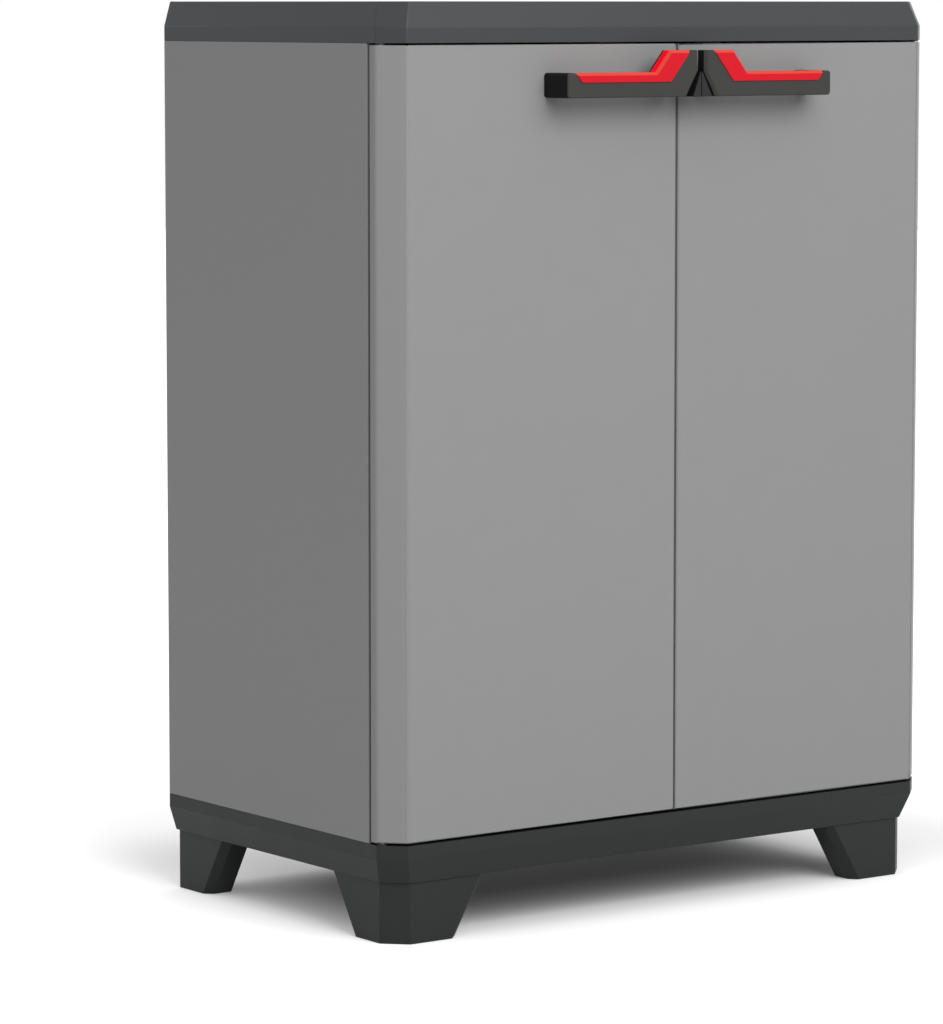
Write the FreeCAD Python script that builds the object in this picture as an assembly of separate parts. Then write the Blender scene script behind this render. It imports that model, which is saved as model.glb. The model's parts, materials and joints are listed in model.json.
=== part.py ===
import FreeCAD
import Part
import math
import os

# Low two-door workshop cabinet in moulded resin.
# Millimetres. +Z up, X across the width, the doors face -Y.
# The origin is on the floor, under the centre of the whole depth, handles included.

# Overall sizes
WIDTH = 680.0
BODY_DEPTH = 390.0
HEIGHT = 900.0
CORNER_LEG = 21.5        # leg of the 45 degree bevel on the two front corners
WALL = 3.0               # moulded walls
FIT = 0.3                # play of pieces that plug together by hand
TOUCH = 1e-6             # two places this close are the same
NEAR = 1.0               # edges this close to a place belong to it

# Handles
HANDLE_REACH = 38.0      # from the door's face to the front of the handle
HANDLE_BELOW_HEAD = 6.0  # top of the handle below the door's upper edge
HANDLE_BAR = 24.0        # height of the grip bar
HANDLE_RISE = 21.0       # how far the inner end stands above the bar
HANDLE_INNER = 4.0       # from the seam to the inner end
HANDLE_TIP = 18.0        # from the seam to the inner end's lower corner
HANDLE_SHOULDER = 40.0   # from the seam to where the slope down to the bar starts
HANDLE_SLOPE = 17.0      # run of that slope
HANDLE_END = 164.0       # from the seam to the outer end
HANDLE_FRONT = 12.5      # thickness of the grip, front to back
HANDLE_BLOCK = 16.0      # width of the end block
HANDLE_NEAR = 36.0       # far side of the inner block, from the seam
HANDLE_ROUND = 3.5
HANDLE_EDGE = 1.2
HANDLE_BEVEL = 3.0       # bevel along the inner end

# Coloured inserts
INSERT_START = 14.5      # from the seam
INSERT_SHORT = 9.5       # how far it stops short of the outer end
INSERT_BAND = 9.3        # height of its lower band
INSERT_DEPTH = 10.0      # it wraps over the top of the grip, up to a thin wall behind
INSERT_PROUD = 0.8
INSERT_EDGE = 2.6        # bevel along its top edges
INSERT_PLAY = 0.15

# Padlock ears
EAR_LEFT = 10.5          # foot of each ear's slope, from the seam
EAR_RIGHT = 13.5
EAR_GAP = 0.8            # slit between the two ears
EAR_TOP = 1.0            # flat at the tip, each ear
EAR_BACK = 1.0           # the ears stop this far behind the handle's front
EAR_EYE_R = 3.5
EAR_EYE_UP = 8.5         # eye above the ear's foot
EAR_EYE_BACK = 16.0      # eye behind the ear's front

# Base tray and feet
FOOT_HEIGHT = 60.0
BASE_BEVEL = 24.5        # height of the sloping part of the skirt
BASE_BAND = 13.5         # height of its upright band
BASE_INSET = 8.0         # how far the slope runs in
FOOT_STEP = 2.3          # feet stand back from the skirt's lower edge
FRONT_FOOT_X = (89.0, 124.0)   # front feet along the front, floor and top, from the side
FRONT_FOOT_Y = (80.0, 118.0)   # front feet along the side, floor and top, from the front
REAR_FOOT_X = (50.0, 76.0)     # rear feet along the back, floor and top, from the side
REAR_FOOT_Y = (54.0, 90.0)     # rear feet along the side, floor and top, from the back
FOOT_ARM = 29.0          # width of each foot's two arms
FOOT_NIP = 8.0           # small bevel on a foot's inner corners
FOOT_SOLE = 4.0
PEG_R = 6.0
PEG_LENGTH = 22.0
PEG_INSET = 38.0         # a foot's two pegs, from its outer faces
PEG_NEAR = 16.0

# Lid
LID_BAND = 14.5
LID_BEVEL = 24.5
LID_INSET = 7.2
LID_RECESS = 2.5         # depth of the tray in the top
LID_RIM = 17.0           # width of the rim round that tray
SOFFIT = 34.0            # depth of the closed strip under the lid's front

# Panels
PANEL = 18.0             # thickness of the twin-wall side panels
INNER_SKIN = 2.5
SIDE_WEB_COUNT = 4       # webs that divide a side panel's hollow
BACK_PANEL = 14.0
BACK_WEB_COUNT = 4
GROOVE_COUNT = 5
GROOVE_WIDTH = 5.0
GROOVE_DEPTH = 0.9
STRIP_FLANGE = 34.0      # width of the back joint strip
STRIP_WALL = 2.0
TONGUE = 14.0            # how far the tongues of base and lid reach into the panels
TONGUE_WALL = 4.0

# Ribs under the base, lid and shelves
RIB = 2.5
ACROSS_RIB_COUNT = 6
ALONG_RIB_COUNT = 3
RIB_SETBACK = 3.0        # ribs end this far inside the open side

# Wall fixing holes
FIXING_SPACING = 500.0
FIXING_R = 3.5
FIXING_BELOW_LID = 40.0
FIXING_BOSS = 10.0

# Doors
SEAM_X = 6.5             # the doors meet this far right of the middle
SEAM_GAP = 1.7
DOOR_FOOT_GAP = 2.4
DOOR_HEAD_GAP = 2.0
DOOR_THICK = 24.0
DOOR_RETURN = 9.4        # side strip behind the corner bevel
DOOR_POST = 16.0         # width of the deep corner post
DOOR_EDGE = 1.2          # small bevel on the outer edges
JAMB_GAP = 4.0           # between the return strip and the side panel
DOOR_RIB_COUNT = 5
LINER_FIELD_COUNT = 3    # raised fields on each liner
LINER_RISE = 2.2
LINER_BORDER = 34.0
LINER_SLOPE = 5.0

# Hinge pins and bushes
PIVOT_INBOARD = 8.0      # pin axis from the cabinet's side
PIVOT_AHEAD = 8.0        # pin axis from the rear of the return strip
PIN_R = 2.5
PIN_IN_DOOR = 18.0
PIN_IN_BUSH = 9.0
PIN_RUN = 0.06           # radial running play
BOSS_R = 5.8
BOSS_LENGTH = 26.0
BUSH_R = 4.0
BUSH_LENGTH = 11.0
BUSH_FLANGE_R = 5.5
BUSH_FLANGE = 1.4

# Shelves and their clips
SHELF_GAP = 2.0          # round a shelf
SHELF_FRONT = 20.0       # shelf front edge behind the side panel's front
SHELF_THICK = 20.0
HOLE_FIRST = 62.0        # lowest clip hole above the base
HOLE_PITCH = 63.0
HOLE_HEADROOM = 40.0     # least room over the highest hole
HOLE_R = 4.0
COLUMN_FRONT = 62.0      # front row of holes behind the panel's front
COLUMN_REAR = 62.0       # rear row of holes ahead of the panel's back
COMPARTMENT_COUNT = 3    # the two shelves part the inside into as many
CLIP_PLAY = 0.1
CLIP_PIN = 10.0
CLIP_REACH = 11.0
CLIP_WIDTH = 14.0
CLIP_HEIGHT = 9.0
CLIP_SEAT = 5.0          # top of the ledge above the hole's axis

# Catches
CATCH_FROM_SEAM = 62.0
TONGUE_WIDTH = 22.0
TONGUE_REACH = 15.0
TONGUE_THICK = 6.0
TONGUE_LEAD = 1.5        # bevel that leads the tongue into its keeper
TONGUE_PLATE = 26.0      # height of the plate that the tongue stands on
TONGUE_PLATE_THICK = 2.5
KEEPER_WIDTH = 30.0
KEEPER_JAW = 5.0
KEEPER_PLAY = 0.5
KEEPER_DEPTH = 20.0
KEEPER_DROP = 12.0       # lower face of the lid to the keeper's slot
KEEPER_CLEAR = 3.0       # keeper's front behind the liner

# Screws
SCREW_R = 2.5
SCREW_HEAD_R = 5.0
SCREW_HEAD = 3.5
SCREW_BITE = 18.0
SMALL_SCREW_R = 1.5
SMALL_HEAD_R = 3.0
SMALL_HEAD = 2.0
SMALL_BITE = 9.0
SCREW_PLAY = 0.2

# Places worked out from the sizes above
SIDE = -WIDTH / 2
REACH = HANDLE_REACH + INSERT_PROUD
FRONT = REACH - (BODY_DEPTH + REACH) / 2
BACK = FRONT + BODY_DEPTH
GRIP_FRONT = FRONT - HANDLE_REACH
GRIP_BACK = GRIP_FRONT + HANDLE_FRONT
BASE_TOP = FOOT_HEIGHT + BASE_BEVEL + BASE_BAND
BAND_FOOT = FOOT_HEIGHT + BASE_BEVEL
LID_FOOT = HEIGHT - LID_BEVEL - LID_BAND
LID_SHOULDER = HEIGHT - LID_BEVEL
LID_SKIN = HEIGHT - LID_RECESS - WALL
DOOR_FOOT = BASE_TOP + DOOR_FOOT_GAP
DOOR_HEAD = LID_FOOT - DOOR_HEAD_GAP
DOOR_REAR = FRONT + CORNER_LEG + DOOR_RETURN
DOOR_BACK = FRONT + DOOR_THICK
POST_X = SIDE + DOOR_POST
PIVOT_X = SIDE + PIVOT_INBOARD
PIVOT_Y = DOOR_REAR - PIVOT_AHEAD
JAMB = DOOR_REAR + JAMB_GAP
INSIDE = SIDE + PANEL
BACK_INSIDE = BACK - STRIP_WALL - BACK_PANEL
HANDLE_TOP = DOOR_HEAD - HANDLE_BELOW_HEAD
BAR_TOP = HANDLE_TOP - HANDLE_RISE
BAR_FOOT = BAR_TOP - HANDLE_BAR
HOLE_COUNT = 1 + int((LID_FOOT - BASE_TOP - HOLE_FIRST - HOLE_HEADROOM) / HOLE_PITCH)
LOWER_HOLE = (HOLE_COUNT + 1) // COMPARTMENT_COUNT - 1    # the holes that carry the shelves
UPPER_HOLE = 2 * (HOLE_COUNT + 1) // COMPARTMENT_COUNT - 1
COLUMNS = (JAMB + COLUMN_FRONT, BACK - COLUMN_REAR)
KEEPER_FRONT = DOOR_BACK + LINER_RISE + KEEPER_CLEAR
SLOT_TOP = LID_FOOT - KEEPER_DROP
TONGUE_TOP = SLOT_TOP - KEEPER_PLAY
TONGUE_FOOT = TONGUE_TOP - TONGUE_THICK
INNER_CORNER = WALL * (math.sqrt(2) - 1)   # shift of a bevel's ends one wall inside it


def vector(x, y, z):
    return FreeCAD.Vector(x, y, z)


def block(x0, x1, y0, y1, z0, z1):
    """Box between two corners."""
    return Part.makeBox(x1 - x0, y1 - y0, z1 - z0, vector(x0, y0, z0))


def upright(x, y, z0, z1, radius):
    """Cylinder along Z."""
    return Part.makeCylinder(radius, z1 - z0, vector(x, y, z0))


def along_y(x, z, y0, y1, radius):
    """Cylinder along Y."""
    return Part.makeCylinder(radius, y1 - y0, vector(x, y0, z), vector(0, 1, 0))


def along_x(y, z, x0, x1, radius):
    """Cylinder along X."""
    return Part.makeCylinder(radius, x1 - x0, vector(x0, y, z), vector(1, 0, 0))


def plate(points, z0, z1):
    """Prism that stands on an outline in X and Y."""
    wire = Part.makePolygon([vector(x, y, z0) for x, y in points + points[:1]])
    return Part.Face(wire).extrude(vector(0, 0, z1 - z0))


def board(points, y0, y1):
    """Prism along Y from an outline in X and Z."""
    wire = Part.makePolygon([vector(x, y0, z) for x, z in points + points[:1]])
    return Part.Face(wire).extrude(vector(0, y1 - y0, 0))


def side_faces(low, high):
    """Flat faces between two edges; a twisted strip is split into two triangles."""
    quad = [low[0], low[1], high[1], high[0]]
    normal = (quad[1] - quad[0]).cross(quad[3] - quad[0])
    normal.normalize()
    if abs((quad[2] - quad[0]).dot(normal)) < TOUCH:
        return [Part.Face(Part.makePolygon(quad + quad[:1]))]
    halves = ([quad[0], quad[1], quad[2]], [quad[0], quad[2], quad[3]])
    return [Part.Face(Part.makePolygon(half + half[:1])) for half in halves]


def hull(low, high):
    """Closed solid between two outlines with as many points."""
    faces = [Part.Face(Part.makePolygon(ring + ring[:1])) for ring in (low, high)]
    for i in range(len(low)):
        j = (i + 1) % len(low)
        faces += side_faces([low[i], low[j]], [high[i], high[j]])
    return Part.makeSolid(Part.makeShell(faces))


def taper(lower, upper, z0, z1):
    """Tapering solid between an outline at z0 and one at z1."""
    return hull([vector(x, y, z0) for x, y in lower], [vector(x, y, z1) for x, y in upper])


def outline(inset, corner_shift=0.0):
    """The cabinet's plan, drawn in from the sides and front, with its two bevelled corners."""
    corner = CORNER_LEG + corner_shift
    x, y = WIDTH / 2 - inset, FRONT + inset
    return [
        (-x, BACK),
        (-x, y + corner),
        (-x + corner, y),
        (x - corner, y),
        (x, y + corner),
        (x, BACK),
    ]


def inner_outline(inset):
    """The same plan one wall further in, also at the back."""
    points = outline(inset + WALL, INNER_CORNER - WALL)
    points[0] = (points[0][0], BACK - WALL)
    points[-1] = (points[-1][0], BACK - WALL)
    return points


def mirrored(shape):
    return shape.mirror(vector(0, 0, 0), vector(1, 0, 0))


def fused(first, others):
    return first.fuse(others).removeSplitter()


def spread(start, end, count):
    """Places that divide a length evenly, ends left out."""
    step = (end - start) / (count + 1)
    return [start + step * (i + 1) for i in range(count)]


def rib_grid(x0, x1, y0, y1, z0, z1):
    """Crossing ribs that fill a rectangle."""
    across = [block(x - RIB / 2, x + RIB / 2, y0, y1, z0, z1) for x in spread(x0, x1, ACROSS_RIB_COUNT)]
    along = [block(x0, x1, y - RIB / 2, y + RIB / 2, z0, z1) for y in spread(y0, y1, ALONG_RIB_COUNT)]
    return across + along


# Feet


def front_foot_outline(x_end, y_end):
    x, y = SIDE + BASE_INSET + FOOT_STEP, FRONT + BASE_INSET + FOOT_STEP
    x_tip, y_tip = SIDE + x_end, FRONT + y_end
    return [
        (x, y_tip - FOOT_NIP),
        (x, y + CORNER_LEG),
        (x + CORNER_LEG, y),
        (x_tip - FOOT_NIP, y),
        (x_tip, y + FOOT_NIP),
        (x_tip, y + FOOT_ARM),
        (x + FOOT_ARM, y_tip),
        (x + FOOT_NIP, y_tip),
    ]


def rear_foot_outline(x_end, y_end):
    x, y = SIDE + BASE_INSET + FOOT_STEP, BACK - FOOT_STEP
    x_tip, y_tip = SIDE + x_end, BACK - y_end
    return [
        (x, y),
        (x, y_tip + FOOT_NIP),
        (x + FOOT_NIP, y_tip),
        (x + FOOT_ARM, y_tip),
        (x_tip, y - FOOT_ARM),
        (x_tip, y - FOOT_NIP),
        (x_tip - FOOT_NIP, y),
    ]


def shrunk(points, distance):
    """An outline drawn in by one wall."""
    wire = Part.makePolygon([vector(x, y, 0) for x, y in points + points[:1]])
    inner = wire.makeOffset2D(-distance, join=2)
    return [(v.Point.x, v.Point.y) for v in inner.OrderedVertexes]


def foot(lower, upper, pegs):
    """Hollow foot, open at the top, with pegs that plug into the base."""
    body = taper(lower, upper, 0, FOOT_HEIGHT)
    hollow = taper(shrunk(lower, WALL), shrunk(upper, WALL), FOOT_SOLE, FOOT_HEIGHT)
    posts = [upright(x, y, FOOT_SOLE / 2, FOOT_HEIGHT + PEG_LENGTH, PEG_R) for x, y in pegs]
    return fused(body.cut(hollow), posts)


def front_foot():
    lower = front_foot_outline(FRONT_FOOT_X[0], FRONT_FOOT_Y[0])
    upper = front_foot_outline(FRONT_FOOT_X[1], FRONT_FOOT_Y[1])
    return foot(lower, upper, front_pegs())


def front_pegs():
    x, y = SIDE + BASE_INSET + FOOT_STEP, FRONT + BASE_INSET + FOOT_STEP
    return [(x + PEG_INSET + PEG_R, y + PEG_NEAR), (x + PEG_NEAR, y + PEG_INSET)]


def rear_foot():
    lower = rear_foot_outline(REAR_FOOT_X[0], REAR_FOOT_Y[0])
    upper = rear_foot_outline(REAR_FOOT_X[1], REAR_FOOT_Y[1])
    return foot(lower, upper, rear_pegs())


def rear_pegs():
    x, y = SIDE + BASE_INSET + FOOT_STEP, BACK - FOOT_STEP
    return [(x + PEG_NEAR, y - PEG_NEAR), (x + PEG_NEAR, y - PEG_INSET + PEG_R)]


# Base tray and lid


def panel_tongues(z0, z1):
    """Tongues that stand inside the hollows of the side and back panels."""
    x = SIDE + WALL + FIT
    cells = panel_cells()
    sides = [block(x, x + TONGUE_WALL, y0 + FIT, y1 - FIT, z0, z1) for y0, y1 in cells]
    y = BACK_INSIDE + INNER_SKIN + FIT
    backs = [block(x0 + FIT, x1 - FIT, y, y + TONGUE_WALL, z0, z1) for x0, x1 in back_cells()]
    left = sides + backs
    return left + [mirrored(tongue) for tongue in left]


def base_tray():
    """Deck, bevelled skirt, ribs, foot seats, bush seats and panel tongues in one moulding."""
    outer = fused(
        taper(outline(BASE_INSET), outline(0), FOOT_HEIGHT, BAND_FOOT),
        [plate(outline(0), BAND_FOOT, BASE_TOP)],
    )
    hollow = fused(
        taper(inner_outline(BASE_INSET), inner_outline(0), FOOT_HEIGHT, BAND_FOOT),
        [plate(inner_outline(0), BAND_FOOT, BASE_TOP - WALL)],
    )
    tray = outer.cut(hollow)
    ribs = rib_grid(SIDE, -SIDE, FRONT, BACK, FOOT_HEIGHT + RIB_SETBACK, BASE_TOP - WALL)
    ribs = [rib.common(hollow) for rib in ribs]
    seats = foot_seats(outer)
    posts = [post.common(outer) for post in pivot_posts(BAND_FOOT, BASE_TOP)]
    tray = fused(tray, ribs + seats + posts + panel_tongues(BASE_TOP - WALL, BASE_TOP + TONGUE))
    return tray.cut(bush_holes(BASE_TOP - BUSH_LENGTH, BASE_TOP) + peg_holes())


def foot_seats(outer):
    """Plates over the feet, which the feet stand against."""
    front = front_foot_outline(FRONT_FOOT_X[1], FRONT_FOOT_Y[1])
    rear = rear_foot_outline(REAR_FOOT_X[1], REAR_FOOT_Y[1])
    left = [plate(points, FOOT_HEIGHT, FOOT_HEIGHT + WALL).common(outer) for points in (front, rear)]
    return left + [mirrored(seat) for seat in left]


def peg_holes():
    top = FOOT_HEIGHT + PEG_LENGTH + FIT
    left = [upright(x, y, FOOT_HEIGHT, top, PEG_R + FIT) for x, y in front_pegs() + rear_pegs()]
    return left + [mirrored(hole) for hole in left]


def pivot_posts(z0, z1):
    """Solid corners that hold the bushes."""
    reach = BUSH_FLANGE_R + WALL
    left = block(SIDE, PIVOT_X + reach, FRONT, PIVOT_Y + reach, z0, z1)
    return [left, mirrored(left)]


def bush_holes(z0, z1):
    left = upright(PIVOT_X, PIVOT_Y, z0, z1, BUSH_R)
    return [left, mirrored(left)]


def top_lid():
    """Bevelled top with a shallow tray, ribs below, bush seats, soffit and panel tongues."""
    outer = fused(
        plate(outline(0), LID_FOOT, LID_SHOULDER),
        [taper(outline(0), outline(LID_INSET), LID_SHOULDER, HEIGHT)],
    )
    slope = (LID_SKIN - LID_SHOULDER) / LID_BEVEL
    hollow = fused(
        plate(inner_outline(0), LID_FOOT, LID_SHOULDER),
        [taper(inner_outline(0), inner_outline(LID_INSET * slope), LID_SHOULDER, LID_SKIN)],
    )
    tray = outline(LID_INSET + LID_RIM)
    tray[0] = (tray[0][0], BACK - LID_RIM)
    tray[-1] = (tray[-1][0], BACK - LID_RIM)
    lid = outer.cut([hollow, plate(tray, HEIGHT - LID_RECESS, HEIGHT)])
    ribs = rib_grid(SIDE, -SIDE, FRONT, BACK, LID_FOOT + RIB_SETBACK, LID_SKIN)
    ribs = [rib.common(hollow) for rib in ribs]
    soffit = block(INSIDE, -INSIDE, FRONT, FRONT + WALL, LID_FOOT, LID_SKIN)
    soffit = soffit.fuse(block(INSIDE, -INSIDE, FRONT, JAMB + SOFFIT, LID_FOOT, LID_FOOT + WALL))
    posts = pivot_posts(LID_FOOT, LID_FOOT + BUSH_LENGTH + WALL)
    roots = panel_tongues(LID_FOOT, LID_SKIN)
    added = [piece.common(outer) for piece in posts + roots + [soffit]]
    lid = fused(lid, ribs + added + panel_tongues(LID_FOOT - TONGUE, LID_FOOT))
    return lid.cut(bush_holes(LID_FOOT, LID_FOOT + BUSH_LENGTH) + keeper_screw_holes())


# Panels


def panel_cells():
    """Hollows of a side panel along Y, between its webs."""
    walls = [JAMB + WALL] + spread(JAMB + WALL, BACK - WALL, SIDE_WEB_COUNT) + [BACK - WALL]
    return cells_between(walls)


def back_cells():
    """Hollows of the left back panel along X."""
    start, end = INSIDE + FIT + WALL, -STRIP_WALL / 2 - FIT - WALL
    return cells_between([start] + spread(start, end, BACK_WEB_COUNT) + [end])


def cells_between(walls):
    """The first and last wall are already clear; those between are webs."""
    cells = []
    for i in range(len(walls) - 1):
        low = walls[i] + (RIB / 2 if i else 0)
        high = walls[i + 1] - (RIB / 2 if i < len(walls) - 2 else 0)
        cells.append((low, high))
    return cells


def side_panel():
    """Twin-wall panel, open at top and bottom, with two rows of clip holes inside."""
    panel = block(SIDE, INSIDE, JAMB, BACK, BASE_TOP, LID_FOOT)
    x0, x1 = SIDE + WALL, INSIDE - INNER_SKIN
    cuts = [block(x0, x1, y0, y1, BASE_TOP, LID_FOOT) for y0, y1 in panel_cells()]
    for y in COLUMNS:
        cuts += [along_x(y, z, x1 - RIB, INSIDE, HOLE_R) for z in hole_heights()]
    return panel.cut(cuts)


def hole_heights():
    return [BASE_TOP + HOLE_FIRST + HOLE_PITCH * i for i in range(HOLE_COUNT)]


def back_panel():
    """Twin-wall half of the back, with grooves outside and a wall fixing hole."""
    x0, x1 = INSIDE + FIT, -STRIP_WALL / 2 - FIT
    y0, y1 = BACK_INSIDE, BACK_INSIDE + BACK_PANEL
    panel = block(x0, x1, y0, y1, BASE_TOP, LID_FOOT)
    hollows = [
        block(low, high, y0 + INNER_SKIN, y1 - INNER_SKIN, BASE_TOP, LID_FOOT)
        for low, high in back_cells()
    ]
    grooves = [
        block(x - GROOVE_WIDTH / 2, x + GROOVE_WIDTH / 2, y1 - GROOVE_DEPTH, y1, BASE_TOP, LID_FOOT)
        for x in spread(x0, x1 - STRIP_FLANGE / 2, GROOVE_COUNT)
    ]
    x, z = -FIXING_SPACING / 2, LID_FOOT - FIXING_BELOW_LID
    boss = along_y(x, z, y0, y1 - GROOVE_DEPTH, FIXING_BOSS)
    panel = fused(panel.cut(hollows + grooves), [boss])
    return panel.cut(along_y(x, z, y0, y1, FIXING_R))


def back_joint_strip():
    """H section that holds the two back panels together."""
    half = STRIP_FLANGE / 2
    web = block(-STRIP_WALL / 2, STRIP_WALL / 2, BACK_INSIDE, BACK - STRIP_WALL, BASE_TOP, LID_FOOT)
    flanges = [
        block(-half, half, y, y + STRIP_WALL, BASE_TOP, LID_FOOT)
        for y in (BACK_INSIDE - STRIP_WALL, BACK - STRIP_WALL)
    ]
    return fused(web, flanges)


# Shelves


def shelf(hole):
    """Ribbed shelf that stands on four clips."""
    foot_z = shelf_foot(hole)
    x0, x1 = INSIDE + SHELF_GAP, -INSIDE - SHELF_GAP
    y0, y1 = JAMB + SHELF_FRONT, BACK_INSIDE - STRIP_WALL - SHELF_GAP
    whole = block(x0, x1, y0, y1, foot_z, foot_z + SHELF_THICK)
    hollow = block(x0 + WALL, x1 - WALL, y0 + WALL, y1 - WALL, foot_z, foot_z + SHELF_THICK - WALL)
    ribs = rib_grid(x0 + WALL, x1 - WALL, y0 + WALL, y1 - WALL, foot_z, foot_z + SHELF_THICK - WALL)
    return fused(whole.cut(hollow), ribs)


def shelf_foot(hole):
    return hole_heights()[hole] + CLIP_SEAT


def shelf_clips(hole):
    """Four clips: a pin in the panel's hole and a ledge under the shelf."""
    z = hole_heights()[hole]
    clips = []
    for y in COLUMNS:
        pin = along_x(y, z, INSIDE - CLIP_PIN, INSIDE + CLIP_REACH / 2, HOLE_R - CLIP_PLAY)
        half = CLIP_WIDTH / 2
        ledge = block(
            INSIDE, INSIDE + CLIP_REACH, y - half, y + half, z + CLIP_SEAT - CLIP_HEIGHT, z + CLIP_SEAT
        )
        clip = fused(ledge, [pin])
        clips += [clip, mirrored(clip)]
    return Part.makeCompound(clips)


# Doors. Each function below draws a left-hand piece for a seam at the given X.


def door_shell(seam):
    """Front, bevelled corner, return strip, ribs and pin bosses in one moulding."""
    free = seam - SEAM_GAP / 2
    shell = plate(
        [
            (SIDE, DOOR_REAR),
            (SIDE, FRONT + CORNER_LEG),
            (SIDE + CORNER_LEG, FRONT),
            (free, FRONT),
            (free, DOOR_BACK),
            (POST_X, DOOR_BACK),
            (POST_X, DOOR_REAR),
        ],
        DOOR_FOOT,
        DOOR_HEAD,
    )
    shell = shell.makeChamfer(DOOR_EDGE, outer_door_edges(shell, free))
    hollow = plate(
        [
            (SIDE + WALL, DOOR_REAR - WALL),
            (SIDE + WALL, FRONT + CORNER_LEG + INNER_CORNER),
            (SIDE + CORNER_LEG + INNER_CORNER, FRONT + WALL),
            (free - WALL, FRONT + WALL),
            (free - WALL, DOOR_BACK - WALL),
            (POST_X - WALL, DOOR_BACK - WALL),
            (POST_X - WALL, DOOR_REAR - WALL),
        ],
        DOOR_FOOT + WALL,
        DOOR_HEAD - WALL,
    )
    seat = block(
        POST_X, free - WALL, DOOR_BACK - WALL, DOOR_BACK, DOOR_FOOT + WALL, DOOR_HEAD - WALL
    )
    ribs = [
        block(SIDE, free, FRONT, DOOR_BACK - WALL, z - RIB / 2, z + RIB / 2).common(hollow)
        for z in spread(DOOR_FOOT, DOOR_HEAD, DOOR_RIB_COUNT)
    ]
    bosses = [
        upright(PIVOT_X, PIVOT_Y, z, z + BOSS_LENGTH, BOSS_R).common(shell)
        for z in (DOOR_FOOT, DOOR_HEAD - BOSS_LENGTH)
    ]
    shell = fused(shell.cut([hollow, seat]), ribs + bosses)
    return shell.cut(pin_holes() + handle_screw_holes(seam))


def outer_door_edges(shell, free):
    """Edges that show: round the front, down the corner bevel and along the return strip."""
    chosen = []
    for edge in shell.Edges:
        ends = [v.Point for v in edge.Vertexes]
        flat = abs(ends[0].z - ends[1].z) < TOUCH
        on_face = all(p.y < DOOR_REAR - NEAR and p.x < free + NEAR for p in ends)
        at_front = all(abs(p.y - FRONT) < TOUCH for p in ends)
        on_corner = flat and all(
            p.y < FRONT + CORNER_LEG + NEAR and p.x < SIDE + CORNER_LEG + NEAR for p in ends
        )
        if on_face and (at_front or on_corner):
            chosen.append(edge)
    return chosen


def pin_holes():
    return [
        upright(PIVOT_X, PIVOT_Y, DOOR_FOOT, DOOR_FOOT + PIN_IN_DOOR, PIN_R),
        upright(PIVOT_X, PIVOT_Y, DOOR_HEAD - PIN_IN_DOOR, DOOR_HEAD, PIN_R),
    ]


def hinge_pins():
    low = upright(PIVOT_X, PIVOT_Y, BASE_TOP - PIN_IN_BUSH, DOOR_FOOT + PIN_IN_DOOR, PIN_R)
    high = upright(PIVOT_X, PIVOT_Y, DOOR_HEAD - PIN_IN_DOOR, LID_FOOT + PIN_IN_BUSH, PIN_R)
    return Part.makeCompound([low, high])


def pivot_bushes():
    """Flanged bushes in the base and, the other way up, in the lid."""
    low = upright(PIVOT_X, PIVOT_Y, BASE_TOP - BUSH_LENGTH, BASE_TOP, BUSH_R)
    low = fused(low, [upright(PIVOT_X, PIVOT_Y, BASE_TOP, BASE_TOP + BUSH_FLANGE, BUSH_FLANGE_R)])
    high = upright(PIVOT_X, PIVOT_Y, LID_FOOT, LID_FOOT + BUSH_LENGTH, BUSH_R)
    high = fused(high, [upright(PIVOT_X, PIVOT_Y, LID_FOOT - BUSH_FLANGE, LID_FOOT, BUSH_FLANGE_R)])
    bore = upright(PIVOT_X, PIVOT_Y, BASE_TOP - PIN_IN_BUSH - FIT, LID_FOOT + PIN_IN_BUSH + FIT,
                   PIN_R + PIN_RUN)
    left = [low.cut(bore), high.cut(bore)]
    return Part.makeCompound(left + [mirrored(bush) for bush in left])


def door_liner(seam):
    """Plate that closes the back of a door, with raised fields."""
    x0, x1 = POST_X + FIT, seam - SEAM_GAP / 2 - WALL - FIT
    z0, z1 = DOOR_FOOT + WALL + FIT, DOOR_HEAD - WALL - FIT
    liner = block(x0, x1, DOOR_BACK - WALL, DOOR_BACK, z0, z1)
    fields = []
    pitch = (z1 - z0) / LINER_FIELD_COUNT
    for i in range(LINER_FIELD_COUNT):
        low, high = z0 + pitch * i, z0 + pitch * (i + 1)
        ring = [
            rectangle(x0, x1, low, high, LINER_BORDER + step, y)
            for step, y in ((0, DOOR_BACK), (LINER_SLOPE, DOOR_BACK + LINER_RISE))
        ]
        fields.append(hull(ring[0], ring[1]))
    return fused(liner, fields)


def rectangle(x0, x1, z0, z1, inset, y):
    """Corners of an upright rectangle drawn in on every side."""
    return [
        vector(x0 + inset, y, z0 + inset),
        vector(x1 - inset, y, z0 + inset),
        vector(x1 - inset, y, z1 - inset),
        vector(x0 + inset, y, z1 - inset),
    ]


# Handles


def handle_profile(seam):
    """Front view of a handle: raised inner end, slope, straight bar."""
    end = seam - HANDLE_END
    return [
        (seam - HANDLE_INNER, BAR_TOP),
        (seam - HANDLE_INNER, HANDLE_TOP),
        (seam - HANDLE_SHOULDER, HANDLE_TOP),
        (seam - HANDLE_SHOULDER - HANDLE_SLOPE, BAR_TOP),
        (end, BAR_TOP),
        (end, BAR_FOOT),
        (seam - HANDLE_TIP, BAR_FOOT),
    ]


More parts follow.
